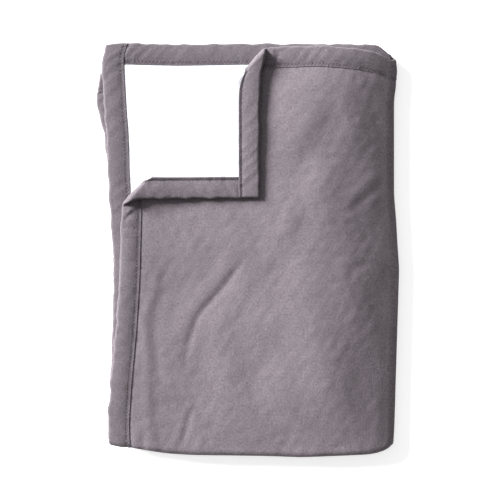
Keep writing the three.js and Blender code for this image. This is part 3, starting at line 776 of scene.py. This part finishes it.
class Nodes:
    """A material's node tree, with short calls for the nodes used here."""

    def __init__(self, name):
        self.material = bpy.data.materials.new(name)
        self.material.use_nodes = True
        self.tree = self.material.node_tree
        self.shader = self.tree.nodes["Principled BSDF"]

    def new(self, kind, **settings):
        node = self.tree.nodes.new("ShaderNode" + kind)
        for key, value in settings.items():
            setattr(node, key, value)
        return node

    def wire(self, source, target):
        self.tree.links.new(source, target)

    def coordinates(self, uv):
        if uv:
            return self.new("UVMap", uv_map=uv).outputs["UV"]
        return self.new("TexCoord").outputs["Object"]

    def noise(self, vector, size, detail=2.0, roughness=0.5):
        """Noise with lumps about size metres across."""
        node = self.new("TexNoise")
        node.inputs["Scale"].default_value = 1 / size
        node.inputs["Detail"].default_value = detail
        node.inputs["Roughness"].default_value = roughness
        self.wire(vector, node.inputs["Vector"])
        return node.outputs["Fac"]

    def spread(self, value, low, high, source=(0.3, 0.7)):
        """Maps the middle of a noise to low..high."""
        node = self.new("MapRange")
        node.inputs["From Min"].default_value, node.inputs["From Max"].default_value = source
        node.inputs["To Min"].default_value, node.inputs["To Max"].default_value = low, high
        self.wire(value, node.inputs["Value"])
        return node.outputs["Result"]

    def math(self, operation, first, second=None):
        node = self.new("Math", operation=operation)
        for socket, value in zip(node.inputs, (first, second)):
            if value is None:
                continue
            if isinstance(value, (int, float)):
                socket.default_value = value
            else:
                self.wire(value, socket)
        return node.outputs[0]

    def shade(self, colour, factor):
        """Colours the surface: a plain colour times a factor that varies over it."""
        node = self.new("Mix", data_type="RGBA", blend_type="MULTIPLY")
        node.inputs["Factor"].default_value = 1.0
        node.inputs[6].default_value = (*colour, 1)
        self.wire(factor, node.inputs[7])
        self.wire(node.outputs[2], self.shader.inputs["Base Color"])

    def bump(self, height, strength, distance):
        node = self.new("Bump")
        node.inputs["Strength"].default_value = strength
        node.inputs["Distance"].default_value = distance
        self.wire(height, node.inputs["Height"])
        self.wire(node.outputs["Normal"], self.shader.inputs["Normal"])

    def set(self, **values):
        for key, value in values.items():
            self.shader.inputs[key.replace("_", " ")].default_value = value


def weave(nodes, vector, thread):
    """Height of a plain weave with threads this far apart."""
    over = []
    for axis in (0, 1):
        split = nodes.new("SeparateXYZ")
        nodes.wire(vector, split.inputs[0])
        over.append(nodes.math("SINE", nodes.math("MULTIPLY", split.outputs[axis], 2 * math.pi / thread)))
    return nodes.math("MULTIPLY", *over)


def stitch_holes(nodes):
    """1 in the needle holes on either side of the zigzag, 0 elsewhere: the mask for their dimples and for
    the painted shade in them.
    """
    split = nodes.new("SeparateXYZ")
    nodes.wire(nodes.coordinates("seam"), split.inputs[0])
    holes = None
    for start, side in ((0.0, 1), (0.5, -1)):
        turns = nodes.math("DIVIDE", split.outputs[0], STITCH_PERIOD * MM)
        phase = nodes.math("FRACT", nodes.math("ADD", turns, 0.5 - start))
        near = nodes.math("MULTIPLY", nodes.math("SUBTRACT", phase, 0.5), STITCH_PERIOD)
        across = nodes.math("SUBTRACT", split.outputs[1], (STITCH_AT + side * STITCH_WIDTH / 2) * MM)
        off = nodes.math("MULTIPLY", across, 1 / MM)
        squares = [nodes.math("POWER", side_length, 2.0) for side_length in (near, off)]
        distance = nodes.math("SQRT", nodes.math("ADD", *squares))
        hole = nodes.spread(distance, 1.0, 0.0, source=(0.5, 1.5))
        holes = hole if holes is None else nodes.math("MAXIMUM", holes, hole)
    return holes


def brushed_cloth(name, colour, holes=False):
    """Brushed cotton: soft mottling, short lint and a weave that barely shows through it. With holes, the
    needle holes are dimpled and get painted shade in their colour.
    """
    nodes = Nodes(name)
    vector = nodes.coordinates("cloth")
    mottle = nodes.spread(nodes.noise(vector, 0.05, 3), 0.93, 1.07)
    grain = nodes.spread(nodes.noise(vector, 0.0048, 3, 0.62), 0.76, 1.24)
    lint = nodes.spread(nodes.noise(vector, 0.0012, 2), 0.9, 1.1)
    factor = nodes.math("MULTIPLY", nodes.math("MULTIPLY", mottle, grain), lint)
    nap = nodes.noise(vector, 0.0042, 4, 0.65)
    height = nodes.math("ADD", nap, nodes.math("MULTIPLY", weave(nodes, vector, 0.0011), 0.05))
    if holes:
        hole = stitch_holes(nodes)
        # painted shade: the needle holes' colour is darkened by up to three quarters, for the shadow that
        # falls inside them
        left = nodes.math("SUBTRACT", 1.0, nodes.math("MULTIPLY", hole, 0.75))
        factor = nodes.math("MULTIPLY", factor, left)
        height = nodes.math("SUBTRACT", height, hole)
    nodes.shade(colour, factor)
    nodes.wire(nodes.spread(grain, 0.98, 0.86, source=(0.76, 1.24)), nodes.shader.inputs["Roughness"])
    nodes.bump(height, 0.8, 0.0012)
    nodes.set(Sheen_Weight=0.25, Sheen_Roughness=0.5, Sheen_Tint=(0.9, 0.86, 0.88, 1))
    nodes.set(Specular_IOR_Level=0.2)
    return nodes.material


def smooth_lining(name):
    """White microfibre: a fine weave with a slight lustre."""
    nodes = Nodes(name)
    vector = nodes.coordinates("cloth")
    mottle = nodes.spread(nodes.noise(vector, 0.03, 3), 0.97, 1.0)
    nodes.shade((0.9, 0.92, 0.96), mottle)
    nodes.wire(nodes.spread(nodes.noise(vector, 0.006, 2), 0.5, 0.62), nodes.shader.inputs["Roughness"])
    yarns = nodes.math("MULTIPLY", weave(nodes, vector, 0.0007), 0.3)
    height = nodes.math("ADD", yarns, nodes.noise(vector, 0.004, 3))
    nodes.bump(height, 0.35, 0.0004)
    nodes.set(Sheen_Weight=0.15, Sheen_Roughness=0.4, Specular_IOR_Level=0.35)
    return nodes.material


def fibre(name, colour, size, strength):
    """Wadding or felt: matted fibres."""
    nodes = Nodes(name)
    vector = nodes.coordinates("cloth")
    tufts = nodes.noise(vector, size, 5, 0.7)
    nodes.shade(colour, nodes.spread(tufts, 0.82, 1.05))
    nodes.wire(nodes.spread(tufts, 1.0, 0.9), nodes.shader.inputs["Roughness"])
    nodes.bump(tufts, strength, 0.002)
    nodes.set(Sheen_Weight=0.3, Specular_IOR_Level=0.15)
    return nodes.material


def sewing_thread(name, colour):
    """Spun thread: plies that wind round it, with painted shade darkening the grooves between them."""
    nodes = Nodes(name)
    vector = nodes.coordinates("cloth")
    split = nodes.new("SeparateXYZ")
    nodes.wire(vector, split.inputs[0])
    turns = nodes.math("ADD", nodes.math("MULTIPLY", split.outputs[0], 700.0), split.outputs[1])
    plies = nodes.math("SINE", nodes.math("MULTIPLY", turns, 2 * math.pi))
    # painted shade: the colour is darker in the grooves between the plies and lighter on their crowns
    ply_groove_shade = nodes.spread(plies, 0.7, 1.15, source=(-1, 1))
    nodes.shade(colour, ply_groove_shade)
    nodes.wire(nodes.spread(plies, 0.85, 0.65, source=(-1, 1)), nodes.shader.inputs["Roughness"])
    nodes.bump(plies, 0.4, 0.0002)
    nodes.set(Sheen_Weight=0.2)
    return nodes.material


def moulded(name, colour, roughness, grain, metallic=0.0):
    """Rubber, plastic or metal with a fine surface and slight unevenness."""
    nodes = Nodes(name)
    vector = nodes.coordinates(None)
    speck = nodes.noise(vector, grain, 3)
    cloudy = nodes.noise(vector, grain * 14, 2)
    nodes.shade(colour, nodes.spread(cloudy, 0.88, 1.1))
    nodes.wire(nodes.spread(speck, roughness - 0.08, roughness + 0.1), nodes.shader.inputs["Roughness"])
    nodes.bump(speck, 0.25, grain * 0.3)
    nodes.set(Specular_IOR_Level=0.5, Metallic=metallic)
    return nodes.material


LOOKS = {
    "outer_cover": brushed_cloth("brushed_cover", TAUPE),
    "binding": brushed_cloth("brushed_binding", TAUPE_BINDING, holes=True),
    "wadding": fibre("wadding_fibre", (0.8, 0.79, 0.75), 0.003, 0.8),
    "carrier": fibre("needled_felt", (0.6, 0.59, 0.56), 0.0015, 0.5),
    "lining": smooth_lining("smooth_lining"),
    "wire": moulded("silicone_wire", (0.45, 0.09, 0.05), 0.45, 0.0006),
    "lead": moulded("silicone_lead", (0.03, 0.033, 0.036), 0.45, 0.0006),
    "plastic": moulded("textured_plastic", (0.016, 0.017, 0.02), 0.5, 0.0007),
    "contact": moulded("plated_contact", (0.72, 0.5, 0.2), 0.25, 0.0004, metallic=1.0),
    "thread": sewing_thread("sewing_thread", (0.06, 0.047, 0.052)),
}


# ---- pieces and what they ride on


def fold_blend(obj, low, high):
    """The piece goes round the side fold; its place is baked into its mesh."""
    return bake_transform(obj)


def split_blend(obj, direction, height):
    """Bakes the piece's place into its mesh. The height along a direction is first moved on a little while a
    point lies right on it."""
    co = np.empty(len(obj.data.vertices) * 3, np.float32)
    obj.data.vertices.foreach_get("co", co)
    along = co.reshape(-1, 3).astype(float) @ direction / MM
    while np.abs(along - height).min() < 2 * SPLIT_WIDTH:
        height += 4.5 * SPLIT_WIDTH
    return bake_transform(obj)


def fold_split(obj):
    """The piece lies inside the side fold; its height is taken at the pack's middle and its place is baked
    into its mesh.
    """
    return split_blend(obj, np.array([0.0, 0.0, 1.0]), PACK_MIDDLE)


def corner_split(obj):
    """The piece goes round the turned corner's roll. Its height is taken on the roll's outermost line, along
    a direction that leans towards the corner's point, and its place is baked into its mesh."""
    lean = SPLIT_LEAN * OUTWARD - LINE_RISE / LEG * ALONG
    direction = unit(np.array([-lean[0], -lean[1], 1.0]))
    on_line = np.array([*PACK_LINE, LINE_RISE + LINE_LIFT + ROLL_LEVEL])
    return split_blend(obj, direction, on_line @ direction)


def finish_piece(obj, look, slot, *nodes):
    obj.data.materials.append(LOOKS[look])
    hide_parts(*nodes)
    return obj


def make_halves(layer, faces, inset, foot, step, coarse):
    """A layer's panels in the lower and the upper half, with the sizes they are cut to."""
    slot = SLOT_OF_LAYER.get(layer, layer)
    u_range, v_range = (SIDE_FOLD_U, LOWER_U - inset), (-EDGE_V + foot, EDGE_V - inset)
    lower = straight_panel(f"{layer}_lower", u_range, v_range, faces, coarse, coarse)
    finish_piece(lower, slot, slot, f"lower_{layer}")
    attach(lower, "lower_half")

    upper = upper_panel(f"{layer}_upper", inset, faces, step, coarse)
    finish_piece(upper, slot, slot, f"upper_{layer}")
    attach(upper, "upper_half")
    return {
        lower: (LOWER_U - inset - SIDE_FOLD_U, 2 * EDGE_V - inset - foot),
        upper: (-SIDE_FOLD_U - UPPER_U - inset, 2 * (EDGE_V - inset)),
    }


def make_side_fold(layer, faces, inset, coarse):
    """A layer's strips round the side fold: the outer leaves' and the inner leaves'."""
    slot = SLOT_OF_LAYER.get(layer, layer)
    round_fold, along_step = (-SIDE_FOLD_U, SIDE_FOLD_U), coarse * 0.7
    ranges = {"outer": (0, EDGE_V - inset), "inner": (-EDGE_V + inset, 0)}
    outer, inner = (
        straight_panel(f"{layer}_side_fold_{side}", round_fold, v_range, faces, SIDE_FOLD_STEP, along_step)
        for side, v_range in ranges.items()
    )
    finish_piece(outer, slot, slot, f"side_fold_{layer}")
    finish_piece(inner, slot, slot)
    fold_blend(outer, *OUTER_TURN)
    pressed = (1 - press(SIDE_FOLD_X)) * (SIDE_RADIUS - LINING_GAP / 2 - LEAF + faces[0])
    fold_blend(inner, PACK_MIDDLE - pressed, PACK_MIDDLE + pressed)
    bend = LINING_GAP / 2 + LEAF - sum(faces) / 2
    return {
        outer: (PRESSED_ARC * math.pi * (SIDE_RADIUS + bend), EDGE_V - inset),
        inner: (PRESSED_ARC * math.pi * (SIDE_RADIUS - bend), EDGE_V - inset),
    }


def make_corner(layer, faces, inset, step):
    """A layer's turned corner, with its roll."""
    slot = SLOT_OF_LAYER.get(layer, layer)
    corner = corner_panel(f"{layer}_corner", inset, faces, step, creased=layer != "outer_cover")
    finish_piece(corner, slot, slot, f"corner_roll_{layer}", f"flap_{layer}")
    corner_split(corner)
    legs = np.array([CORNER_LEG_U, CORNER_LEG_V])
    return {corner: tuple(legs - inset - inset * legs / legs[::-1])}


def make_layer(layer, faces):
    """One layer of the blanket: its pieces with their sizes, and which of them is the turned corner."""
    step, coarse, corner_step = SHOWN_STEPS.get(layer, HIDDEN_STEPS)
    inset = TUCK if layer in SHOWN_STEPS else HIDDEN_INSET
    foot = TUCK if layer in SHOWN_STEPS else SOCKET_INSET
    made = make_halves(layer, faces, inset, foot, step, coarse)
    made.update(make_side_fold(layer, faces, inset, coarse))
    made.update(make_corner(layer, faces, inset, corner_step))
    return made, list(made)[-1]


for layer, faces in LAYERS.items():
    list(make_layer(layer, faces))


def fixed(value):
    """An end of a strip that is cut straight across."""
    return lambda a: value + 0.0 * np.asarray(a, float)


def side_line(a):
    """v on the turned corner's fold line, at a distance a from the side edge."""
    return EDGE_V - CORNER_LEG_V + np.asarray(a, float) * CORNER_LEG_V / CORNER_LEG_U


def head_line(a):
    """u on the turned corner's fold line, at a distance a from the head edge."""
    return UPPER_U + CORNER_LEG_U - np.asarray(a, float) * CORNER_LEG_U / CORNER_LEG_V


FOLD_ENDS = (fixed(-SIDE_FOLD_U), fixed(SIDE_FOLD_U))
STRIPS = {
    "upper_side": Strip("side", UPPER_U, fixed(-EDGE_V), side_line, closed=("start",), join=JOIN_V),
    "upper_foot": Strip("end", -EDGE_V, fixed(UPPER_U + LAP_START), fixed(-SIDE_FOLD_U), thin=("start",)),
    "upper_head": Strip("end", EDGE_V, head_line, fixed(-SIDE_FOLD_U)),
    "side_fold_head": Strip("end", EDGE_V, *FOLD_ENDS, step=1.6),
    "side_fold_foot": Strip("end", -EDGE_V, *FOLD_ENDS, step=1.6),
    "lower_head": Strip(
        "end", EDGE_V, fixed(SIDE_FOLD_U), fixed(LOWER_U - LAP_START), thin=("end",), step=5
    ),
    "lower_foot": Strip(
        "end", -EDGE_V, fixed(SIDE_FOLD_U), fixed(LOWER_U), closed=("end",), notch=SOCKET, step=5
    ),
    "lower_side": Strip(
        "side", LOWER_U, fixed(-EDGE_V + LAP_START), fixed(EDGE_V), closed=("end",), thin=("start",), step=4
    ),
    "corner_side": Strip(
        "side", UPPER_U, side_line, fixed(EDGE_V - LAP_START), thin=("end",), corner=True, step=2.4
    ),
    "corner_head": Strip("end", EDGE_V, fixed(UPPER_U), head_line, closed=("start",), corner=True, step=2.4),
}
NODES_OF_STRIP = {name: [f"{name}_binding"] for name in STRIPS}
NODES_OF_STRIP["corner_side"] = ["corner_roll_side_binding", "flap_side_binding"]
NODES_OF_STRIP["corner_head"] = ["corner_roll_head_binding", "flap_head_binding"]
THREADS = {
    "upper": ["upper_side", "upper_foot", "upper_head"],
    "lower": ["lower_head", "lower_foot", "lower_side"],
    "side_fold_head": ["side_fold_head"],
    "side_fold_foot": ["side_fold_foot"],
    "corner": ["corner_side", "corner_head"],
}


def carry(obj, name):
    """The piece rides on the body that its strip belongs to, or is baked where it lies."""
    if name.startswith("upper"):
        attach(obj, "upper_half")
    elif name.startswith("lower"):
        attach(obj, "lower_half")
    elif name == "side_fold_head":
        fold_blend(obj, *OUTER_TURN)
    elif name == "side_fold_foot":
        fold_split(obj)
    else:
        corner_split(obj)


def make_binding(name, strip):
    piece = strip.mesh(f"{name}_binding_strip")
    finish_piece(piece, "binding", "binding", *NODES_OF_STRIP[name])
    carry(piece, name)


def make_thread(name, members):
    thread = thread_object(f"{name}_thread", [STRIPS[m] for m in members])
    thread.data.materials.append(LOOKS["thread"])
    carry(thread, name)


for name, strip in STRIPS.items():
    make_binding(name, strip)
for name, members in THREADS.items():
    make_thread(name, members)


# ---- heating parts inside


def carried(node, look, segment=10.0):
    """A part inside a leaf, moved with the cloth round it. Its long edges are divided, so that it bends."""
    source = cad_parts[node]
    mesh = source.data.copy()
    work = bmesh.new()
    work.from_mesh(mesh)
    bmesh.ops.remove_doubles(work, verts=work.verts, dist=1e-6)
    for _ in range(7):
        long_edges = [e for e in work.edges if e.calc_length() > segment * MM]
        if not long_edges:
            break
        bmesh.ops.subdivide_edges(work, edges=long_edges, cuts=1)
    bmesh.ops.triangulate(work, faces=work.faces)
    work.to_mesh(mesh)
    work.free()
    co = np.empty(len(mesh.vertices) * 3, np.float32)
    mesh.vertices.foreach_get("co", co)
    u, v, h = unfolded(*(co.reshape(-1, 3).astype(float) / MM).T)
    mesh.vertices.foreach_set("co", panel_point(u, v, h).astype(np.float32).ravel())
    mesh.materials.clear()
    mesh.materials.append(LOOKS[look])
    mesh.update()
    mesh.shade_smooth()
    mesh.set_sharp_from_angle(angle=math.radians(50))
    obj = link(bpy.data.objects.new(f"{node}_laid", mesh))
    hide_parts(node)
    return obj


INSIDE = {
    "lower_heating_wire": ("wire", "lower_half"),
    "upper_heating_wire": ("wire", "upper_half"),
    "lower_thermostat": ("plastic", "lower_half"),
    "upper_thermostat": ("plastic", "upper_half"),
    "lower_lead": ("lead", "lower_half"),
    "link_lead": ("lead", "lower_half"),
    "upper_lead": ("lead", "upper_half"),
    "sensor_lead": ("lead", "lower_half"),
    "temperature_sensor": ("plastic", "lower_half"),
}
for node, (look, body) in INSIDE.items():
    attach(carried(node, look), body)
fold_blend(carried("side_fold_lead", "lead", segment=2.5), *LEAD_TURN)

for node in ("socket_housing", "contact_pin_1", "contact_pin_2", "contact_pin_3"):
    for material_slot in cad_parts[node].material_slots:
        material_slot.material = LOOKS["plastic" if node == "socket_housing" else "contact"]


# ---- floor, light and camera


def pale_floor():
    nodes = Nodes("pale_floor")
    nodes.set(Base_Color=(0.93, 0.93, 0.935, 1), Roughness=0.9, Specular_IOR_Level=0.1)
    nodes.set(Emission_Color=(1, 1, 1, 1), Emission_Strength=0.6)
    bpy.ops.mesh.primitive_plane_add(size=8, location=(0, 0, -0.0012))
    floor = bpy.context.object
    floor.name = "floor"
    floor.data.materials.append(nodes.material)


def sun(name, azimuth, elevation, strength, softness, colour=(1, 1, 1)):
    """A distant soft light, from a direction in degrees: azimuth from +X towards +Y."""
    data = bpy.data.lights.new(name, "SUN")
    data.energy = strength
    data.angle = math.radians(softness)
    data.color = colour
    light = link(bpy.data.objects.new(name, data))
    light.rotation_euler = (0, math.radians(90 - elevation), math.radians(azimuth))


def studio():
    world = bpy.data.worlds.new("studio")
    world.use_nodes = True
    background = world.node_tree.nodes["Background"]
    background.inputs["Color"].default_value = (1.0, 0.965, 0.95, 1)
    background.inputs["Strength"].default_value = 0.13
    bpy.context.scene.world = world
    bpy.context.scene.view_settings.view_transform = "Standard"
    sun("left_window", azimuth=152, elevation=17.5, strength=13.0, softness=20, colour=(0.98, 0.98, 1.0))
    sun("top_window", azimuth=130, elevation=58, strength=0.9, softness=90)


def camera():
    data = bpy.data.cameras.new("camera")
    data.lens = 66.9
    data.sensor_width = 36
    eye = link(bpy.data.objects.new("camera", data))
    eye.location = (0.0058, -0.0023, 2.2)
    bpy.context.scene.camera = eye


pale_floor()
studio()
camera()
